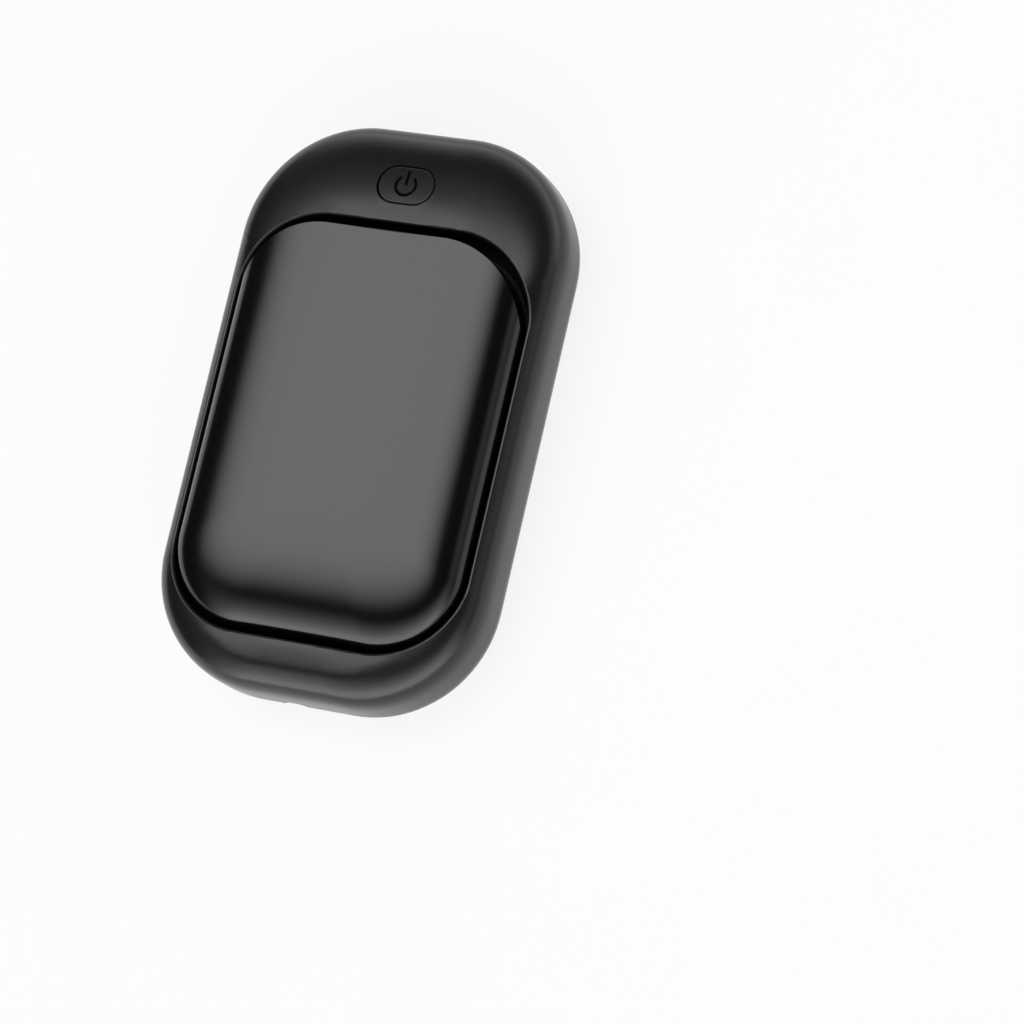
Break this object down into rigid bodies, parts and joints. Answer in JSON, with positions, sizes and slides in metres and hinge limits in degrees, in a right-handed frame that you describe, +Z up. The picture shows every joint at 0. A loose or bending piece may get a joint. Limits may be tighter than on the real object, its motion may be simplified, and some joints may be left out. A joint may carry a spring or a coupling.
{
  "type": "rechargeable hand warmer",
  "caption": "Pocket rechargeable hand warmer: a rounded black case on rubber feet with a raised heating plate, flush power button, round charging inlet, battery cell and control boards.",
  "frame": {"origin": "under the middle of the case, on the plane that the feet stand on", "axes": "+X across the width, +Y along the length towards the power button, +Z up through the heating plate"},
  "size_m": [0.06, 0.1008, 0.021],
  "materials": {
    "soft_touch_black": "soft-touch coated ABS, matte",
    "anodised_black": "black anodised aluminium, semi-gloss",
    "foot_rubber": "moulded silicone rubber, satin",
    "gasket_foam": "acrylic foam adhesive, matte",
    "zinc_steel": "zinc plated steel",
    "polyimide_film": "amber polyimide film",
    "insulation_foam": "silicone foam, matte",
    "tray_plastic": "natural nylon, matte",
    "cell_pouch": "aluminium laminate pouch, satin",
    "pad_adhesive": "foam adhesive, matte",
    "board_laminate": "glass-epoxy board with green solder mask",
    "nickel_strip": "nickel, bright",
    "lead_red": "red silicone insulation",
    "lead_black": "black silicone insulation",
    "lead_white": "white silicone insulation",
    "moulded_epoxy": "moulded epoxy package, matte",
    "ceramic": "fired ceramic, matte",
    "ferrite": "ferrite, matte",
    "socket_nylon": "black glass-filled nylon",
    "contact_metal": "nickel plated brass",
    "spring_steel": "stainless spring steel",
    "plunger_acetal": "black acetal",
    "ribbon_polyester": "polyester flat cable"
  },
  "bodies": {
    "case": {"back_cover": "soft_touch_black", "battery_cell": "cell_pouch", "board_screws": "zinc_steel", "button_board": "board_laminate", "button_board_screws": "zinc_steel", "capacitors": "ceramic", "case_screws": "zinc_steel", "cell_lead_negative": "lead_black", "cell_lead_positive": "lead_red", "cell_pad": "pad_adhesive", "cell_tab_negative": "nickel_strip", "cell_tab_positive": "nickel_strip", "cell_tray": "tray_plastic", "charge_controller": "moulded_epoxy", "charge_sleeve": "contact_metal", "charge_socket": "socket_nylon", "charge_tip_contact": "contact_metal", "foot_left_front": "foot_rubber", "foot_left_rear": "foot_rubber", "foot_right_front": "foot_rubber", "foot_right_rear": "foot_rubber", "front_shell": "soft_touch_black", "heater_film": "polyimide_film", "heater_lead_left": "lead_white", "heater_lead_right": "lead_white", "heater_transistor": "moulded_epoxy", "heating_plate": "anodised_black", "insulation_pad": "insulation_foam", "main_board": "board_laminate", "microcontroller": "moulded_epoxy", "plate_gasket": "gasket_foam", "power_inductor": "ferrite", "protection_board": "board_laminate", "resistors": "moulded_epoxy", "switch_body": "socket_nylon", "switch_cover": "spring_steel", "switch_dome": "spring_steel", "switch_ribbon": "ribbon_polyester", "thermistor": "moulded_epoxy", "thermistor_lead_left": "lead_white", "thermistor_lead_right": "lead_white"},
    "button": {"power_button": "soft_touch_black", "switch_plunger": "plunger_acetal"}
  },
  "joints": [
    {"name": "button_press", "type": "slide", "parent": "case", "child": "button", "axis": [0, 0, -1], "range_m": [0, 0.0003], "stiffness_N_per_m": 2500, "springref_m": -0.0002, "deforming": ["switch_dome"]}
  ]
}
